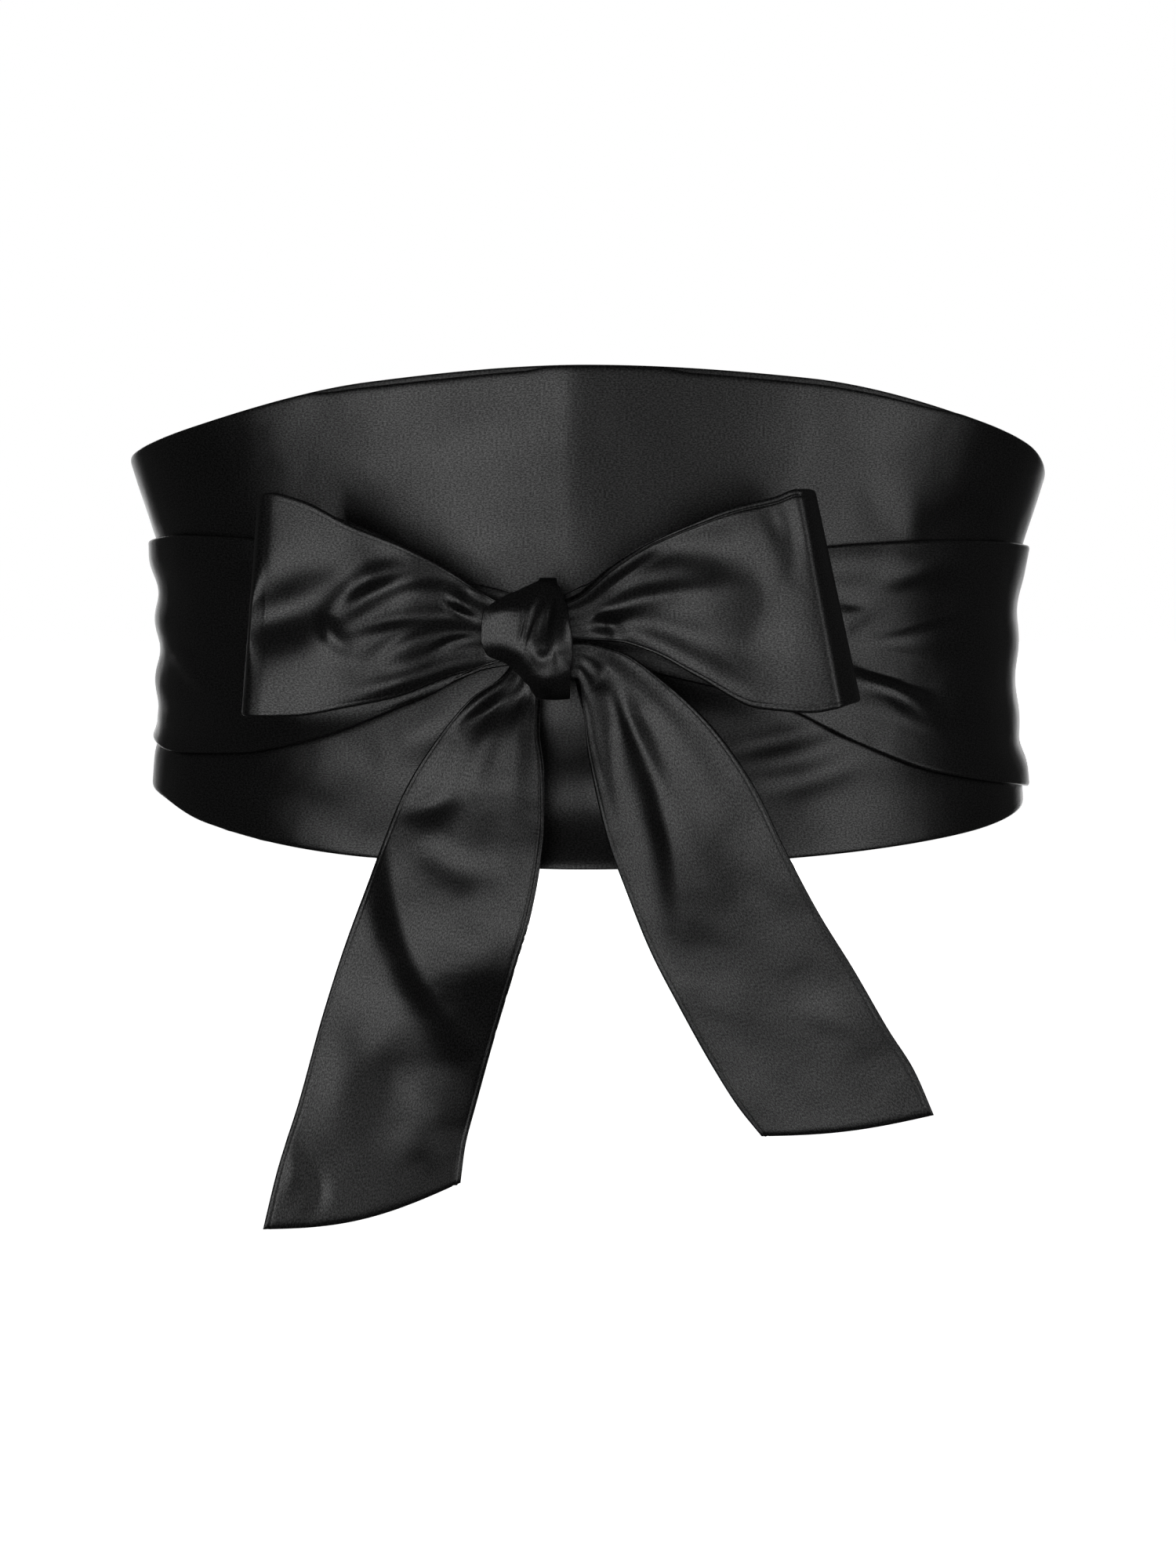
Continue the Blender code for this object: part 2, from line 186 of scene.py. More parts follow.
LOOP_RIGHT = (
    (0.0, -11.0, -2.2, -11.0, 6.0, -117.2, -117.2, 0.2, 0.1),
    (1.0, -3.0, -3.2, -3.0, 9.0, -116.2, -115.8, 0.6, 0.1),
    (2.0, 8.0, -4.0, 7.0, 17.6, -113.0, -113.4, 1.2, 0.4),
    (3.0, 19.0, -7.4, 17.0, 24.6, -114.2, -114.4, 1.5, 0.4),
    (4.0, 33.0, -15.0, 30.0, 30.7, -116.2, -116.4, 1.5, 0.3),
    (5.0, 50.0, -23.8, 44.0, 36.2, -118.4, -118.2, 1.0, 0.2),
    (6.0, 65.0, -25.0, 55.0, 38.8, -120.2, -119.8, 0.6, 0.1),
    (7.0, 73.0, -23.8, 61.0, 41.0, -120.8, -120.4, 0.2, 0.0),
    (8.0, 77.8, -22.4, 65.2, 41.2, -116.0, -116.0, -0.2, 0.0),
    (9.0, 80.8, -21.6, 67.2, 40.8, -109.4, -109.4, -0.4, 0.0),
    (10.0, 80.2, -21.4, 66.6, 40.0, -102.6, -102.8, 0.0, 0.0),
    (11.0, 75.5, -21.6, 62.6, 39.0, -100.0, -100.5, 0.0, 0.0),
    (12.0, 60.0, -22.0, 50.0, 36.0, -100.5, -101.0, 0.0, 0.1),
    (13.0, 40.0, -17.0, 34.0, 29.5, -103.0, -103.0, 0.0, 0.2),
    (14.0, 20.0, -7.0, 18.0, 22.0, -105.5, -105.5, 0.0, 0.2),
    (15.0, 7.0, -3.0, 6.0, 14.5, -107.0, -107.0, 0.0, 0.1),
    (16.0, -3.0, -1.8, -3.0, 7.6, -108.4, -108.4, 0.0, 0.0),
    (17.0, -11.0, -1.6, -11.0, 5.6, -109.6, -109.6, 0.0, 0.0),
)

# A tail, from the knot down: row number, left edge x and z, right edge x and z,
# left edge y, right edge y, bulge, gathers.
TAIL_LEFT = (
    (0.0, -20.5, -9.0, -15.1, -12.5, -105.0, -105.0, 0.0, 0.0),
    (1.0, -24.5, -14.0, -15.1, -20.5, -105.0, -105.4, 0.2, 0.1),
    (2.0, -34.0, -20.0, -15.2, -30.0, -105.2, -107.0, 0.6, 0.3),
    (3.0, -45.0, -33.0, -13.4, -43.0, -104.2, -109.2, 0.8, 0.3),
    (4.0, -54.0, -47.0, -13.0, -57.0, -102.4, -111.4, 0.8, 0.2),
    (5.0, -61.0, -63.0, -14.2, -70.0, -101.0, -113.0, 0.8, 0.1),
    (6.0, -67.0, -79.0, -17.0, -85.0, -100.0, -113.2, 0.6, 0.0),
    (7.0, -73.5, -97.0, -21.3, -100.0, -99.6, -110.6, 0.6, 0.0),
    (8.0, -80.0, -118.0, -27.2, -120.0, -99.6, -104.4, 0.4, 0.0),
    (9.0, -86.5, -142.0, -33.2, -142.0, -100.0, -98.4, 0.4, 0.0),
    (10.0, -92.5, -161.0, -36.6, -155.5, -100.2, -95.8, 0.4, 0.0),
    (11.0, -97.0, -179.6, -38.0, -166.2, -100.0, -94.8, 0.4, 0.0),
)
TAIL_RIGHT = (
    (0.0, -11.0, -14.6, -11.0, -6.2, -115.4, -116.4, 0.0, 0.0),
    (1.0, -3.2, -14.8, -2.6, -4.4, -114.8, -115.8, 0.3, 0.1),
    (2.0, -1.6, -23.0, 9.0, -6.8, -111.0, -113.0, 0.6, 0.2),
    (3.0, -0.7, -34.0, 24.0, -17.0, -108.6, -113.0, 0.6, 0.3),
    (4.0, 1.6, -47.0, 37.0, -29.4, -106.2, -114.2, 0.6, 0.2),
    (5.0, 5.4, -62.5, 49.0, -46.5, -104.8, -114.8, 0.6, 0.1),
    (6.0, 11.0, -78.0, 58.0, -65.0, -103.8, -114.6, 0.6, 0.1),
    (7.0, 18.2, -96.0, 68.0, -84.0, -103.0, -113.6, 0.6, 0.0),
    (8.0, 27.2, -113.5, 78.5, -101.0, -102.6, -112.4, 0.6, 0.0),
    (9.0, 37.0, -131.0, 89.0, -119.0, -102.2, -111.0, 0.6, 0.0),
    (10.0, 44.5, -142.8, 96.6, -131.0, -102.0, -110.4, 0.6, 0.0),
    (11.0, 51.6, -151.7, 102.6, -144.6, -101.8, -109.8, 0.6, 0.0),
)

# Folds seen from the front: start x and z, a point half way, end x and z, half width, height
# and lean. A height below zero is a groove. As one goes along a fold from its start, a lean
# above zero makes it wider on the left, and a lean below zero on the right.
LOOP_LEFT_FOLDS = (
    (-53.0, 18.6, -68.0, 13.0, -76.2, 3.6, 3.2, 1.5, 0.0),
    (-76.2, 4.6, -76.0, -1.6, -69.0, -6.6, 3.0, 1.3, 0.0),
    (-42.0, 15.2, -61.5, 11.2, -72.8, 1.4, 2.8, -1.1, 0.0),
    (-72.0, -2.4, -58.5, 2.2, -36.0, 3.6, 2.4, -0.9, 0.0),
    (-64.0, -9.6, -55.0, -2.4, -42.0, 2.2, 2.2, -0.7, 0.0),
    (-62.0, -9.0, -52.0, -6.2, -37.0, -3.4, 4.6, 1.0, 0.0),
    (-47.6, -9.8, -41.6, -4.4, -32.0, -2.6, 1.3, -0.8, 0.0),
    (-112.0, -2.0, -91.0, 4.0, -64.0, 16.0, 9.0, -4.8, 0.0),
    (-38.6, 11.0, -37.6, 8.0, -34.8, 4.8, 1.5, 1.1, 0.0),
    (-42.4, 11.4, -41.0, 6.4, -34.2, 3.4, 1.2, -0.8, 0.0),
    (-72.0, -20.4, -54.0, -15.4, -34.0, -8.6, 3.0, 1.2, 0.0),
    (-36.2, 12.4, -33.0, 10.4, -29.4, 8.6, 1.2, 0.6, 0.0),
)
LOOP_RIGHT_FOLDS = (
    (-2.0, 4.0, 15.0, 9.2, 34.0, 11.0, 3.2, 1.6, 0.0),
    (26.0, 9.6, 38.0, 10.8, 52.0, 10.4, 6.0, 1.3, 0.0),
    (12.0, 19.6, 32.0, 22.0, 46.0, 17.6, 6.4, -1.3, 0.0),
    (24.0, 30.4, 40.0, 34.0, 53.0, 30.0, 7.0, 1.3, 0.0),
    (10.0, 1.8, 30.0, -11.6, 56.0, -22.6, 6.0, 1.4, 0.0),
    (0.0, 2.4, 5.6, 0.8, 11.0, -3.6, 3.0, -1.8, 0.0),
    (60.0, 12.0, 52.0, 1.0, 44.0, -10.0, 7.0, -1.1, 0.0),
    (57.0, 38.0, 60.0, 28.0, 60.0, 16.0, 3.0, -0.6, 0.0),
    (52.0, 36.0, 55.0, 30.0, 57.0, 22.0, 2.4, -0.4, 0.0),
    (4.0, 10.6, 13.0, 17.0, 22.0, 23.4, 1.6, 0.7, 0.0),
)
TAIL_LEFT_FOLDS = (
    (-21.0, -12.6, -30.0, -20.0, -40.0, -29.0, 2.4, 1.2, 0.0),
    (-17.6, -17.4, -27.0, -23.6, -39.0, -30.6, 3.6, -2.0, 0.3),
    (-56.0, -54.0, -47.0, -53.0, -36.0, -48.0, 4.4, -1.4, 0.0),
    (-57.0, -44.0, -54.0, -88.0, -32.0, -126.0, 21.0, 5.2, 0.66),
    (-38.0, -74.0, -34.0, -92.0, -24.0, -106.0, 12.0, 1.0, 0.0),
    (-50.0, -62.0, -42.0, -70.0, -30.0, -72.0, 5.0, -0.8, 0.0),
    (-42.0, -84.0, -32.0, -88.0, -20.0, -86.0, 5.0, -0.7, 0.0),
    (-78.0, -116.0, -74.0, -134.0, -80.0, -152.0, 7.0, 0.9, 0.0),
    (-64.0, -124.0, -58.0, -136.0, -64.0, -150.0, 8.0, -1.3, 0.0),
    (-56.0, -148.0, -50.0, -154.0, -42.0, -156.0, 6.0, 0.8, 0.0),
    (-92.0, -170.0, -88.0, -162.0, -90.0, -152.0, 3.0, 0.6, 0.0),
    (-84.0, -176.0, -80.0, -168.0, -84.0, -160.0, 2.4, -0.5, 0.0),
)
TAIL_RIGHT_FOLDS = (
    (3.0, -16.0, 7.0, -22.0, 11.0, -34.0, 3.2, -1.8, 0.0),
    (12.0, -26.0, 25.0, -60.0, 30.0, -104.0, 18.0, 4.0, 0.66),
    (5.0, -10.0, 13.0, -28.0, 22.0, -48.0, 3.0, 1.3, 0.0),
    (-1.4, -17.0, 2.0, -36.0, 8.0, -62.0, 2.6, 1.1, 0.0),
    (36.0, -50.0, 46.0, -74.0, 62.0, -100.0, 8.0, -0.9, 0.0),
    (60.0, -112.0, 78.0, -118.0, 92.0, -132.0, 6.0, 0.6, 0.0),
)
# On the knot: two seam lines, the fold from its top, the deep teardrop, the lit roll under it,
# the teardrop's lip, the right rim, and the upper and the lower left corner.
KNOT_FOLDS = (
    (-18.0, 9.0, -19.2, 2.0, -20.8, -4.4, 0.45, -0.5, 0.0),
    (-16.2, 5.6, -17.4, 0.0, -19.2, -6.4, 0.5, -0.6, 0.0),
    (-10.4, 14.6, -15.6, 5.6, -17.6, -1.6, 1.1, -0.9, 0.0),
    (-10.2, 13.6, -12.6, 3.0, -13.4, -5.6, 2.2, -2.2, 0.0),
    (-19.0, -8.6, -11.6, -14.6, -4.0, -12.6, 5.4, 3.0, 0.0),
    (-17.0, -3.4, -13.0, -8.4, -7.6, -3.0, 1.8, 0.7, 0.0),
    (-6.4, 9.0, -5.6, 2.0, -5.2, -8.0, 3.0, 1.4, 0.0),
    (-30.0, 3.0, -24.0, 5.4, -18.6, 8.4, 3.4, 1.2, 0.0),
    (-34.0, -10.0, -26.0, -12.6, -19.0, -17.0, 6.0, -2.4, 0.0),
)
# On the ties round the waist, seen from the front.
WRAP_LEFT_FOLDS = (
    (-122.0, -22.0, -82.0, -24.0, -34.0, -13.0, 11.0, 5.5, 0.0),
    (-126.0, -7.5, -118.0, -14.0, -108.0, -18.0, 2.6, 1.8, 0.0),
    (-37.0, 16.0, -31.0, 15.2, -22.0, 12.0, 0.9, 0.6, 0.0),
    (-36.6, 12.2, -30.0, 13.0, -22.0, 9.6, 0.9, -0.6, 0.0),
    (-60.0, -24.0, -48.0, -18.0, -34.0, -12.0, 2.4, 1.0, 0.0),
)
WRAP_RIGHT_FOLDS = (
    (76.0, -1.4, 92.0, 0.6, 112.0, 6.0, 4.4, -2.4, 0.2),
    (78.0, -12.0, 92.0, -14.0, 106.0, -22.0, 4.2, -2.6, 0.2),
    (78.0, -15.6, 93.0, -20.6, 106.0, -32.0, 2.8, 1.5, 0.0),
    (74.0, 6.0, 79.0, 7.0, 84.0, 6.0, 2.0, -0.7, 0.0),
    (-7.0, 17.0, -2.0, 16.6, 4.0, 16.0, 1.4, -0.8, 0.0),
    (-7.0, 14.4, -2.0, 14.0, 4.0, 13.0, 1.1, 0.5, 0.0),
    (84.0, 12.0, 96.0, 16.0, 108.0, 20.0, 3.4, 0.7, 0.0),
)
# On the panel: the roll under the right loop, the drag lines below it, a swell under the left
# loop, the hollow between the tails, the roll along the bottom left, small folds at the right.
PANEL_FOLDS = (
    (16.0, -6.0, 36.0, -14.0, 62.0, -25.0, 8.0, 3.2, 0.0),
    (36.0, -38.0, 54.0, -34.6, 74.0, -29.0, 3.2, -1.0, 0.0),
    (40.0, -43.0, 58.0, -40.0, 80.0, -34.0, 3.6, 0.9, 0.0),
    (50.0, -49.0, 67.0, -46.0, 86.0, -38.0, 4.0, -0.9, 0.0),
    (-60.0, -36.0, -48.0, -32.0, -36.0, -24.0, 6.0, 1.2, 0.0),
    (-62.0, -51.0, -7.0, -52.0, 48.0, -51.0, 18.0, -7.0, 0.0),
    (-112.0, -52.0, -82.0, -62.0, -38.0, -71.0, 16.0, 3.2, 0.0),
    (78.0, 44.0, 86.0, 38.0, 84.0, 28.0, 5.0, -0.5, 0.0),
    (94.0, 40.0, 98.0, 32.0, 92.0, 26.0, 5.0, 0.6, 0.0),
    (104.0, 30.0, 116.0, 34.0, 122.0, 26.0, 4.0, -0.7, 0.0),
)
# On the ties behind the wearer: distance round the waist and height, then as above.
HIDDEN_FOLDS = (
    (186.0, 15.0, 232.0, 11.0, 290.0, 19.0, 3.2, 1.3, 0.0),
    (196.0, -6.0, 240.0, -2.0, 296.0, 6.0, 3.4, 1.5, 0.0),
    (190.0, -25.0, 250.0, -19.0, 304.0, -23.0, 3.0, 1.2, 0.0),
    (222.0, 3.0, 262.0, 6.0, 310.0, 16.0, 2.2, 0.8, 0.0),
    (300.0, 24.0, 326.0, 23.0, 366.0, 28.0, 2.6, 1.0, 0.0),
    (304.0, 8.0, 330.0, 11.0, 368.0, 17.0, 2.2, 0.9, 0.0),
    (300.0, -24.0, 328.0, -26.0, 366.0, -29.0, 2.6, 1.0, 0.0),
    (306.0, -8.0, 332.0, -10.0, 368.0, -14.0, 2.2, 0.9, 0.0),
)
ROUND_PER_DEGREE = 2.0

# The folds of the front view fade out over this depth, toward the wearer's sides.
FRONT_FADE = 20.0

# A fold is full half way along its path, and this share of its height is left at its ends.
END_HEIGHT = 0.2
FADE_POWER = 1.3
PATH_POINTS = 241

# The even folds along a tie: their spacing, where they set in above its bottom edge and over
# what stretch, all as shares of its width, and how their height drifts with the angle round.
FOLD_SPACING = 0.3
FOLD_START = 0.1
FOLD_ONSET = 0.08
DRIFT = 0.2
DRIFT_PER_DEGREE = 0.11
DRIFT_START = 2.0

# How deep a groove may sink into a tie on the panel, and how softly that limit sets in.
GROOVE_FLOOR = -0.25
GROOVE_SOFTNESS = 0.3

# The gathers across a loop or a tail, and how sharply a tail's hem curves toward its end.
GATHERS = 3
HEM_POWER = 8

# Where a cloth edge turns over and where it is sewn, as shares of the cloth's width. The next
# two rows are stations of the grid across each of these, and the even stations start after them.
TURN = 0.016
SEAM = 0.03
SEAM_HALF = 0.006
TURN_STATIONS = (0.0, 0.1, 0.3, 0.6, 1.0)
SEAM_STATIONS = (-1.6, -1.0, -0.5, 0.0, 0.5, 1.0, 1.6)
EVEN_START = 0.048

# Points of each grid along the cloth and across it. For the knot, round it and across it.
PANEL_POINTS = (360, 94)
FACING_POINTS = (300, 54)
WRAP_POINTS = (300, 88)
LOOP_POINTS = (220, 114)
TAIL_POINTS = (200, 100)
KNOT_POINTS = (180, 94)

# The seam down the panel's centre front lies on a low ridge, which rises above the bow.
FRONT_SEAM_X = -5.4
FRONT_SEAM_HALF = 0.7
FRONT_SEAM_DEPTH = 0.35
FRONT_RIDGE_HEIGHT = 0.9
FRONT_RIDGE_REACH = 9.0
FRONT_RIDGE_FOOT = 10.0
FRONT_RIDGE_RISE = 40.0

# Black satin: how fine its threads are along and across the cloth, how fine its twill is and
# the angle of it, and how fine its unevenness is. Threads of the speckle are dull up to its low
# value and bright from its high value.
THREADS = (1400.0, 2400.0, 1.0)
TWILL_SCALE = 720.0
TWILL_ANGLE = 62.0
CLOUD_SCALE = 45.0
SPECK_LOW = 0.36
SPECK_HIGH = 0.74
DULL_THREAD = 0.001

# The soft lights: azimuth and elevation in degrees, width and height in metres, radiance.
# Azimuth 0 is in front of the sash and 90 is to the right of someone who looks at it.
LIGHTS = {
    "left_light": (-27.0, -6.0, 2.4, 1.9, 1.7),
    "middle_light": (23.0, -5.0, 1.6, 1.9, 0.42),
    "right_light": (56.0, -5.0, 1.4, 1.9, 1.25),
    "back_light": (180.0, 0.0, 2.3, 2.4, 1.6),
}
LIGHT_DISTANCE = 2.6
ROOM_FILL = 0.04

# The floor is a little below the tails, in metres.
FLOOR_Z = -0.195
FLOOR_SIZE = 30.0


def between(rows, keys):
    """The columns that a table gives for keys in its first column, smooth and without overshoot."""
    rows = np.asarray(rows, float)
    stops = rows[:, 0]
    keys = np.clip(keys, stops[0], stops[-1])
    i = np.clip(np.searchsorted(stops, keys, side="right") - 1, 0, len(stops) - 2)
    spans = np.diff(stops)
    rises = np.diff(rows[:, 1:], axis=0) / spans[:, None]
    before, after = rises[:-1], rises[1:]
    same = before * after > 0
    inner = np.where(same, 2 * before * after / np.where(same, before + after, 1.0), 0.0)
    slopes = np.vstack([rises[:1], inner, rises[-1:]])
    s = ((keys - stops[i]) / spans[i])[..., None]
    low, high = rows[i, 1:], rows[i + 1, 1:]
    start = slopes[i] * spans[i][..., None]
    end = slopes[i + 1] * spans[i][..., None]
    part_low = (1 + 2 * s) * (1 - s) ** 2 * low + s * (1 - s) ** 2 * start
    part_high = s * s * (3 - 2 * s) * high + s * s * (s - 1) * end
    return part_low + part_high


def fold_height(folds, x, z):
    """How far the folds of a table lift the cloth at points of the front view."""
    t = np.linspace(0, 1, PATH_POINTS)
    total = np.zeros_like(x)
    for x0, z0, x1, z1, x2, z2, width, height, lean in folds:
        reach = 3 * width * (1 + abs(lean))
        near = (np.abs(x - x1) < abs(x2 - x0) / 2 + abs(x1 - (x0 + x2) / 2) + reach) & (
            np.abs(z - z1) < abs(z2 - z0) / 2 + abs(z1 - (z0 + z2) / 2) + reach
        )
        if not near.any():
            continue
        bend_x, bend_z = 2 * x1 - (x0 + x2) / 2, 2 * z1 - (z0 + z2) / 2
        path_x = (1 - t) ** 2 * x0 + 2 * t * (1 - t) * bend_x + t * t * x2
        path_z = (1 - t) ** 2 * z0 + 2 * t * (1 - t) * bend_z + t * t * z2
        run_x, run_z = np.gradient(path_x), np.gradient(path_z)
        away_x, away_z = x[near][:, None] - path_x, z[near][:, None] - path_z
        far = np.hypot(away_x, away_z)
        nearest = np.argmin(far, axis=1)
        one = np.arange(len(nearest))
        across = run_x[nearest] * away_z[one, nearest] - run_z[nearest] * away_x[one, nearest]
        run = np.hypot(run_x, run_z)[nearest]
        far = far[one, nearest]
        side = np.clip(across / np.maximum(run * far, 1e-9), -1, 1)
        fade = END_HEIGHT + (1 - END_HEIGHT) * np.abs(np.sin(np.pi * t[nearest])) ** FADE_POWER
        total[near] += height * fade * np.exp(-((far / (width * (1 + lean * side))) ** 2))
    return total


def soft_floor(height, floor, softness):
    """The height, kept above a floor with a smooth turn."""
    return floor + 0.5 * (height - floor + np.hypot(height - floor, softness))


def stations(count):
    """A count of shares from 0 to 1, closer together at both ends, where the cloth turns over."""
    turned = TURN * np.array(TURN_STATIONS)
    seam = SEAM + SEAM_HALF * np.array(SEAM_STATIONS)
    edge = np.concatenate([turned, seam])
    middle = np.linspace(EVEN_START, 1 - EVEN_START, count - 2 * len(edge))
    return np.concatenate([edge, middle, 1 - edge[::-1]])


def fullness(shares):
    """How full the wall is at a share of its width: 0 at an edge, 1 past the turn."""
    inside = np.clip(np.minimum(shares, 1 - shares) / TURN, 0, 1)
    return np.sqrt(1 - (1 - inside) ** 2)


def seam_line(shares, low, high):
    """Grooves of the given depths along the low and the high edge."""
    first = np.exp(-(((shares - SEAM) / SEAM_HALF) ** 2))
    last = np.exp(-(((1 - shares - SEAM) / SEAM_HALF) ** 2))
    return -low * first - high * last


def waist_relief(x, y, z):
    """The panel's own unevenness, which the ties on it follow."""
    front = np.clip(-y / FRONT_FADE, 0, 1)
    relief = front * fold_height(PANEL_FOLDS, x, z)
    ridge = FRONT_RIDGE_HEIGHT * np.exp(-np.abs(x - FRONT_SEAM_X) / FRONT_RIDGE_REACH)
    line = FRONT_SEAM_DEPTH * np.exp(-(((x - FRONT_SEAM_X) / FRONT_SEAM_HALF) ** 2))
    high = np.clip((z - FRONT_RIDGE_FOOT) / FRONT_RIDGE_RISE, 0, 1)
    return relief + front * (ridge - line) * high


def on_waist(angle, height, out):
    """Points on the panel's outer face, moved out along the waist's normal."""
    turned = (angle + 180.0) % 360.0 - 180.0
    top, bottom, flare = np.moveaxis(between(PANEL_EDGES, turned), -1, 0)
    share = (height - bottom) / (top - bottom)
    out = out + flare * between(PANEL_FLARE, share)[..., 0]
    turn = np.radians(angle)
    normal_x, normal_y = np.sin(turn) / HALF_WIDTH, -np.cos(turn) / HALF_DEPTH
    length = np.hypot(normal_x, normal_y)
    x = HALF_WIDTH * np.sin(turn) + normal_x / length * out
    y = -HALF_DEPTH * np.cos(turn) + normal_y / length * out
    lift = waist_relief(x, y, height)
    return np.stack([x + normal_x / length * lift, y + normal_y / length * lift, height], axis=-1)


def normals_of(grid, ring):
    """Unit normals of a grid of points. A ring joins its last row to its first."""
    if ring:
        along = np.roll(grid, -1, axis=0) - np.roll(grid, 1, axis=0)
    else:
        along = np.gradient(grid, axis=0)
    across = np.gradient(grid, axis=1)
    normal = np.cross(along, across)
    return normal / np.maximum(np.linalg.norm(normal, axis=-1, keepdims=True), 1e-9)


def raised(grid, height, ring=False):
    """The grid moved out along its normals."""
    return grid + normals_of(grid, ring) * height[..., None]


def cloth_lengths(grid):
    """Distances along and across the cloth at each point of a grid."""
    along = np.linalg.norm(np.diff(grid, axis=0), axis=-1)
    across = np.linalg.norm(np.diff(grid, axis=1), axis=-1)
    along = np.vstack([np.zeros(grid.shape[1]), np.cumsum(along, axis=0)])
    across = np.hstack([np.zeros((grid.shape[0], 1)), np.cumsum(across, axis=1)])
    middle = along[:, grid.shape[1] // 2]
    return np.repeat(middle[:, None], grid.shape[1], axis=1), across - across[:, -1:] / 2


def cloth(name, grid, wall, side, material, ends=None, ring=False):
    """A closed wall on a grid of points whose faces look outward, with turned edges.

    The side is +1 to thicken outward and -1 to thicken inward. The ends are the shares of the
    cloth's length for each row, which round the ends too.
    """
    rows, columns = grid.shape[:2]
    full = fullness(stations(columns))[None, :] * np.ones((rows, 1))
    if ends is not None:
        full = full * fullness(ends)[:, None]
    normal = normals_of(grid, ring)
    middle = grid + side * normal * wall / 2
    front = middle + normal * (full * wall / 2)[..., None]
    back = middle - normal * (full * wall / 2)[..., None]

    outer = np.arange(rows * columns).reshape(rows, columns)
    inner = outer + rows * columns
    inner[:, 0], inner[:, -1] = outer[:, 0], outer[:, -1]
    if not ring:
        inner[0], inner[-1] = outer[0], outer[-1]
    faces = []
    for index, turned in ((outer, False), (inner, True)):
        following = np.roll(index, -1, axis=0) if ring else index[1:]
        first = index if ring else index[:-1]
        quads = [first[:, :-1], following[:, :-1], following[:, 1:], first[:, 1:]]
        quads = np.stack(quads[::-1] if turned else quads, axis=-1).reshape(-1, 4)
        faces.append(quads)
    faces = np.vstack(faces)

    points = np.vstack([front.reshape(-1, 3), back.reshape(-1, 3)]) * MM
    lengths = np.stack(cloth_lengths(grid), axis=-1).reshape(-1, 2) * MM
    lengths = np.vstack([lengths, lengths])
    used, faces = np.unique(faces, return_inverse=True)
    faces = faces.reshape(-1, 4)
    mesh = bpy.data.meshes.new(name)
    mesh.from_pydata(points[used].tolist(), [], faces.tolist())
    mesh.materials.append(material)
    mesh.shade_smooth()
    weave = mesh.uv_layers.new(name="weave")
    weave.data.foreach_set("uv", lengths[used][faces.reshape(-1)].astype(np.float32).ravel())
    piece = bpy.data.objects.new(name, mesh)
    bpy.context.scene.collection.objects.link(piece)
    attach(piece, "root")
    return piece


def panel_grid(points, lift, drop):
    """The panel from end to end, with its face moved in by the drop.

    The outer layer has no lift. A lift of 1 takes the top edge up to that of the inner layer.
    """
    along, shares = stations(points[0]), stations(points[1])
    angles = -PANEL_END + 2 * PANEL_END * along
    top, bottom, _ = np.moveaxis(between(PANEL_EDGES, angles), -1, 0)
    peek = between(PANEL_PEEK, angles)[..., 0]
    top = top - peek * (1 - lift)
    heights = bottom[:, None] + (top - bottom)[:, None] * shares
    angle = np.repeat(angles[:, None], len(shares), axis=1)
    return on_waist(angle, heights, np.full_like(heights, -drop)), along


def wrap_grid(rows, side, front_folds):
    """A tie laid on the panel: its inner face is the panel's outer face, moved out."""
    along, shares = stations(WRAP_POINTS[0]), stations(WRAP_POINTS[1])
    first, last = rows[0][0], rows[-1][0] - SEAM_TURN
    sweep = first + (last - first) * along
    bottom, top, gap, fold = np.moveaxis(between(rows, sweep), -1, 0)[..., None]
    heights = bottom + (top - bottom) * shares
    wave = 0.5 + 0.5 * np.cos(2 * np.pi * (shares - FOLD_SPACING) / FOLD_SPACING)
    onset = np.clip((shares - FOLD_START) / FOLD_ONSET, 0, 1)
    drift = 1 - DRIFT + DRIFT * np.sin(sweep[:, None] * DRIFT_PER_DEGREE + DRIFT_START)
    rise = fold * wave * onset * drift
    angle = side * np.repeat(sweep[:, None], len(shares), axis=1)
    flat = on_waist(angle, heights, gap + 0.0 * heights)
    front = np.clip(-flat[..., 1] / FRONT_FADE, 0, 1)
    rise = rise + front * fold_height(front_folds, flat[..., 0], heights)
    rise = rise + fold_height(HIDDEN_FOLDS, np.abs(angle) * ROUND_PER_DEGREE, heights)
    rise = soft_floor(rise, GROOVE_FLOOR, GROOVE_SOFTNESS)
    return on_waist(angle, heights, gap + rise), along


def knot_grid():
    """The band round the bundle, from behind it over the top to the front and back under it."""
    turns = np.linspace(180, 540, KNOT_POINTS[0], endpoint=False)
    turns = (turns + 90) % 360 - 90
    shares = stations(KNOT_POINTS[1])
    left, right = np.moveaxis(between(KNOT_RIMS, turns), -1, 0)[..., None]
    up, front = np.sin(np.radians(turns))[:, None], np.cos(np.radians(turns))[:, None]
    shape = KNOT_TIP * (1 - shares) ** 3 - KNOT_RIGHT_RISE * shares**2
    depth = 1 - shape * np.maximum(front, 0)
    y = KNOT_Y - KNOT_HALF_DEPTH * front * depth
    x = left + (right - left) * shares
    z = KNOT_Z + KNOT_HALF_HEIGHT * up + 0.0 * x
    grid = np.stack([x, y, z], axis=-1)[::-1]
    shown = np.clip(front[::-1] / KNOT_FOLD_COSINE, 0, 1)
    folds = shown * fold_height(KNOT_FOLDS, grid[..., 0], grid[..., 2])
    return raised(grid, folds, ring=True)


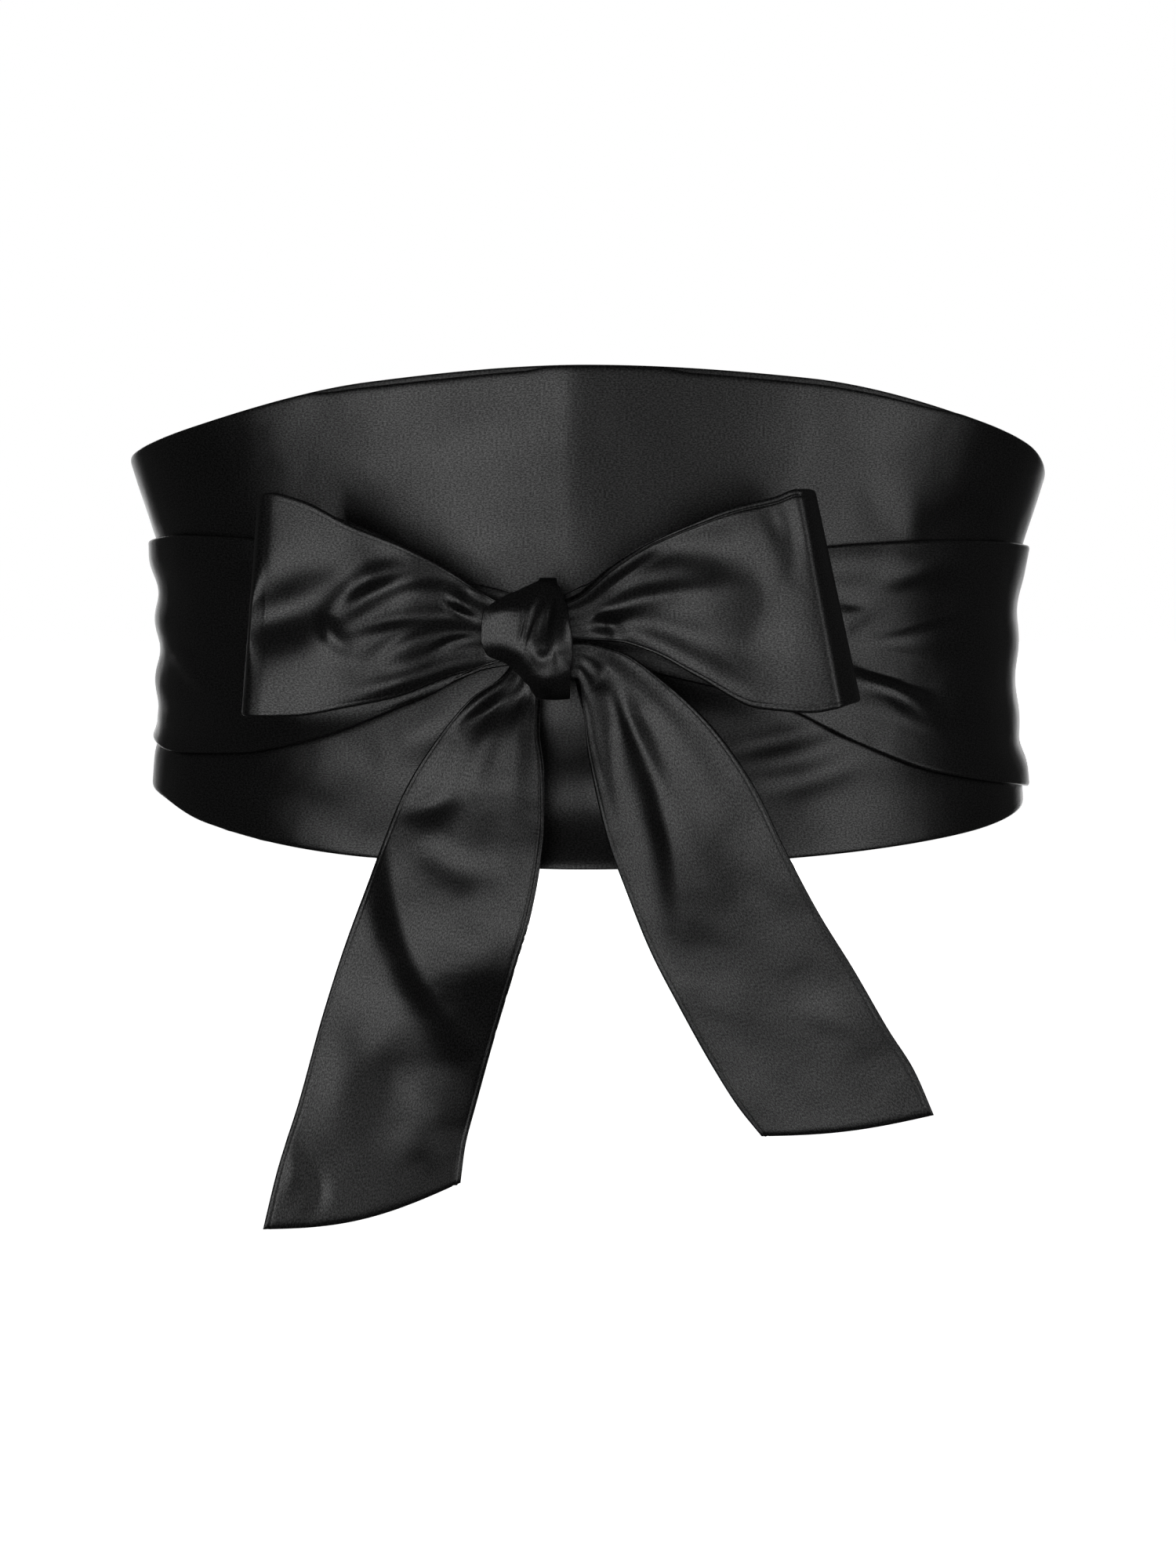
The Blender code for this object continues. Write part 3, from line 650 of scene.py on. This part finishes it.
def band_grid(rows, folds, points, front_rows=np.inf, sag=0.0, seams=(0.1, 0.1)):
    """A stretch of tie between two edges, which bulges and folds toward the front.

    The folds end at the row front_rows, where a loop turns back. The sag curves a tail's hem,
    and the seams are how deep the seam line is along each edge.
    """
    along, shares = stations(points[0]), stations(points[1])
    key = rows[-1][0] * along
    x0, z0, x1, z1, y0, y1, bulge, gather = np.moveaxis(between(rows, key), -1, 0)[..., None]
    front = np.clip(front_rows - key, 0, 1)[:, None]
    hem = sag * along[:, None] ** HEM_POWER
    round_over = np.sin(np.pi * shares)
    x = x0 + (x1 - x0) * shares
    z = z0 + (z1 - z0) * shares - hem * round_over
    fold = gather * np.sin(2 * np.pi * GATHERS * shares) * np.maximum(round_over, 0) ** 0.5
    fold = fold + front * fold_height(folds, x, z) + seam_line(shares, *seams)
    y = y0 + (y1 - y0) * shares - bulge * round_over - fold
    return np.stack([x, y, z], axis=-1), along


def node_of(tree, kind, **values):
    """A new shader node with the given settings."""
    node = tree.nodes.new(kind)
    for key, value in values.items():
        setattr(node, key, value)
    return node


def ranged(tree, source, low, high, to_low=0.0, to_high=1.0):
    """The source with its range from low to high mapped onto another one."""
    node = node_of(tree, "ShaderNodeMapRange")
    node.inputs["From Min"].default_value = low
    node.inputs["From Max"].default_value = high
    node.inputs["To Min"].default_value = to_low
    node.inputs["To Max"].default_value = to_high
    tree.links.new(source, node.inputs["Value"])
    return node.outputs["Result"]


def satin(name, bright_thread, roughness):
    """Black satin: a fine diagonal twill, threads that catch the light, and a soft gloss."""
    material = bpy.data.materials.new(name)
    material.use_nodes = True
    tree = material.node_tree
    link = tree.links.new
    shader = tree.nodes["Principled BSDF"]

    place = node_of(tree, "ShaderNodeUVMap", uv_map="weave")
    threads = node_of(tree, "ShaderNodeMapping")
    threads.inputs["Scale"].default_value = THREADS
    link(place.outputs["UV"], threads.inputs["Vector"])
    speckle = node_of(tree, "ShaderNodeTexNoise", noise_dimensions="2D")
    speckle.inputs["Scale"].default_value = 1.0
    speckle.inputs["Detail"].default_value = 2.0
    speckle.inputs["Roughness"].default_value = 0.75
    link(threads.outputs["Vector"], speckle.inputs["Vector"])

    twill_place = node_of(tree, "ShaderNodeMapping")
    twill_place.inputs["Rotation"].default_value = (0.0, 0.0, np.radians(TWILL_ANGLE))
    link(place.outputs["UV"], twill_place.inputs["Vector"])
    twill = node_of(tree, "ShaderNodeTexWave", wave_type="BANDS", bands_direction="X")
    twill.inputs["Scale"].default_value = TWILL_SCALE
    twill.inputs["Distortion"].default_value = 1.2
    twill.inputs["Detail"].default_value = 1.0
    twill.inputs["Detail Scale"].default_value = 2.0
    link(twill_place.outputs["Vector"], twill.inputs["Vector"])

    cloudy = node_of(tree, "ShaderNodeTexNoise", noise_dimensions="2D")
    cloudy.inputs["Scale"].default_value = CLOUD_SCALE
    cloudy.inputs["Detail"].default_value = 1.5
    link(place.outputs["UV"], cloudy.inputs["Vector"])

    speck = speckle.outputs["Fac"]
    colour = node_of(tree, "ShaderNodeMix", data_type="RGBA")
    colour.inputs["A"].default_value = (DULL_THREAD, DULL_THREAD, DULL_THREAD, 1)
    colour.inputs["B"].default_value = (bright_thread, bright_thread, bright_thread * 1.02, 1)
    link(ranged(tree, speck, SPECK_LOW, SPECK_HIGH), colour.inputs["Factor"])
    link(colour.outputs["Result"], shader.inputs["Base Color"])
    shine = ranged(tree, speck, SPECK_LOW, SPECK_HIGH, 0.3, 0.9)
    link(shine, shader.inputs["Specular IOR Level"])
    gloss = ranged(tree, cloudy.outputs["Fac"], 0.3, 0.7, roughness - 0.03, roughness + 0.04)
    link(gloss, shader.inputs["Roughness"])

    relief = node_of(tree, "ShaderNodeMath", operation="MULTIPLY_ADD")
    relief.inputs[1].default_value = 0.35
    link(twill.outputs["Fac"], relief.inputs[0])
    link(speck, relief.inputs[2])
    uneven = node_of(tree, "ShaderNodeBump")
    uneven.inputs["Strength"].default_value = 1.0
    uneven.inputs["Distance"].default_value = 0.0006
    link(cloudy.outputs["Fac"], uneven.inputs["Height"])
    bump = node_of(tree, "ShaderNodeBump")
    bump.inputs["Strength"].default_value = 0.5
    bump.inputs["Distance"].default_value = 0.00006
    link(relief.outputs["Value"], bump.inputs["Height"])
    link(uneven.outputs["Normal"], bump.inputs["Normal"])
    link(bump.outputs["Normal"], shader.inputs["Normal"])
    return material


def pale_floor():
    """A plain pale floor that throws no light back onto the satin."""
    bpy.ops.mesh.primitive_plane_add(size=FLOOR_SIZE, location=(0, 0, FLOOR_Z))
    floor = bpy.context.object
    floor.name = "floor"
    material = bpy.data.materials.new("pale_floor")
    material.use_nodes = True
    shader = material.node_tree.nodes["Principled BSDF"]
    shader.inputs["Base Color"].default_value = (0.86, 0.86, 0.86, 1)
    shader.inputs["Roughness"].default_value = 0.9
    shader.inputs["Emission Color"].default_value = (1, 1, 1, 1)
    shader.inputs["Emission Strength"].default_value = 1.0
    floor.data.materials.append(material)
    floor.visible_glossy = False
    floor.visible_diffuse = False


def softbox(name, azimuth, elevation, width, height, radiance):
    """A soft rectangular light that faces the sash, with the power that its radiance takes."""
    turn, rise = np.radians(azimuth), np.radians(elevation)
    away = Vector((np.sin(turn) * np.cos(rise), -np.cos(turn) * np.cos(rise), np.sin(rise)))
    lamp = bpy.data.lights.new(name, "AREA")
    lamp.shape = "RECTANGLE"
    lamp.size, lamp.size_y = width, height
    lamp.energy = radiance * 4 * width * height
    light = bpy.data.objects.new(name, lamp)
    light.location = AIM + away * LIGHT_DISTANCE
    light.rotation_euler = away.to_track_quat("Z", "Y").to_euler()
    light.visible_camera = False
    bpy.context.scene.collection.objects.link(light)


def studio():
    """The soft lights, and a room that is white to the camera and gives little light."""
    for name, setting in LIGHTS.items():
        softbox(name, *setting)
    world = bpy.data.worlds.new("studio")
    bpy.context.scene.world = world
    world.use_nodes = True
    tree = world.node_tree
    seen = tree.nodes["Background"]
    seen.inputs["Color"].default_value = (1, 1, 1, 1)
    seen.inputs["Strength"].default_value = 1.0
    fill = node_of(tree, "ShaderNodeBackground")
    fill.inputs["Color"].default_value = (1, 1, 1, 1)
    fill.inputs["Strength"].default_value = ROOM_FILL
    ray = node_of(tree, "ShaderNodeLightPath")
    mix = node_of(tree, "ShaderNodeMixShader")
    tree.links.new(ray.outputs["Is Camera Ray"], mix.inputs["Fac"])
    tree.links.new(fill.outputs["Background"], mix.inputs[1])
    tree.links.new(seen.outputs["Background"], mix.inputs[2])
    tree.links.new(mix.outputs["Shader"], tree.nodes["World Output"].inputs["Surface"])
    bpy.context.scene.view_settings.view_transform = "Standard"


def camera():
    """The camera at the angle of the photograph."""
    rise = np.radians(CAMERA_ELEVATION)
    away = Vector((0.0, -np.cos(rise), np.sin(rise)))
    lens = bpy.data.cameras.new("camera")
    lens.lens = LENS
    lens.clip_start = 0.05
    eye = bpy.data.objects.new("camera", lens)
    eye.location = AIM + away * CAMERA_DISTANCE
    eye.rotation_euler = away.to_track_quat("Z", "Y").to_euler()
    bpy.context.scene.collection.objects.link(eye)
    bpy.context.scene.camera = eye


def dress(node):
    """Hides the solid that a piece stands for."""
    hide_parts(node)


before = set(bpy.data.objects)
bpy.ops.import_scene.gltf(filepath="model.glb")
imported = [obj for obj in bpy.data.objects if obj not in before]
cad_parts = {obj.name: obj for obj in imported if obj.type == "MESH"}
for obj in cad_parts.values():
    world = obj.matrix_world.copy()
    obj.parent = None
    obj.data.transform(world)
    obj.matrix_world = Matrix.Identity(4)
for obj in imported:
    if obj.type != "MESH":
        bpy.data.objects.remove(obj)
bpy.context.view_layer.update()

panel_satin = satin("panel_satin", bright_thread=0.018, roughness=0.32)
tie_satin = satin("tie_satin", bright_thread=0.018, roughness=0.32)
facing_satin = satin("facing_satin", bright_thread=0.016, roughness=0.4)

grid, ends = panel_grid(PANEL_POINTS, lift=0.0, drop=0.0)
panel = cloth("panel_cloth", grid, PANEL_LAYER, -1, panel_satin, ends)
dress("body_panel")
grid, ends = panel_grid(FACING_POINTS, lift=1.0, drop=PANEL_WALL - FACING_LAYER)
facing = cloth("panel_facing", grid, FACING_LAYER, -1, facing_satin, ends)
dress("body_panel")

grid, ends = wrap_grid(WRAP_LEFT, -1, WRAP_LEFT_FOLDS)
left = cloth("tie_round_left", grid[::-1], TIE_WALL, 1, tie_satin, ends)
dress("wrap_left")
grid, ends = wrap_grid(WRAP_RIGHT, 1, WRAP_RIGHT_FOLDS)
right = cloth("tie_round_right", grid, TIE_WALL, 1, tie_satin, ends)
dress("wrap_right")

grid, ends = band_grid(LOOP_LEFT, LOOP_LEFT_FOLDS, LOOP_POINTS, 7, seams=(0.04, 0.04))
loop_left = cloth("bow_loop_left", grid[::-1], TIE_WALL, -1, tie_satin, ends)
grid, ends = band_grid(LOOP_RIGHT, LOOP_RIGHT_FOLDS, LOOP_POINTS, 8, seams=(0.1, 0.3))
loop_right = cloth("bow_loop_right", grid, TIE_WALL, -1, tie_satin, ends)
knot = cloth("bow_knot", knot_grid(), KNOT_WALL, -1, tie_satin, ring=True)
grid, ends = band_grid(TAIL_LEFT, TAIL_LEFT_FOLDS, TAIL_POINTS, sag=4.0, seams=(0.1, 0.3))
tail_left = cloth("bow_tail_left", grid, TIE_WALL, -1, tie_satin, ends)
grid, ends = band_grid(TAIL_RIGHT, TAIL_RIGHT_FOLDS, TAIL_POINTS, sag=1.6)
tail_right = cloth("bow_tail_right", grid, TIE_WALL, -1, tie_satin, ends)
dress("loop_left")
dress("loop_right")
dress("knot")
dress("tail_left")
dress("tail_right")

pale_floor()
studio()
camera()
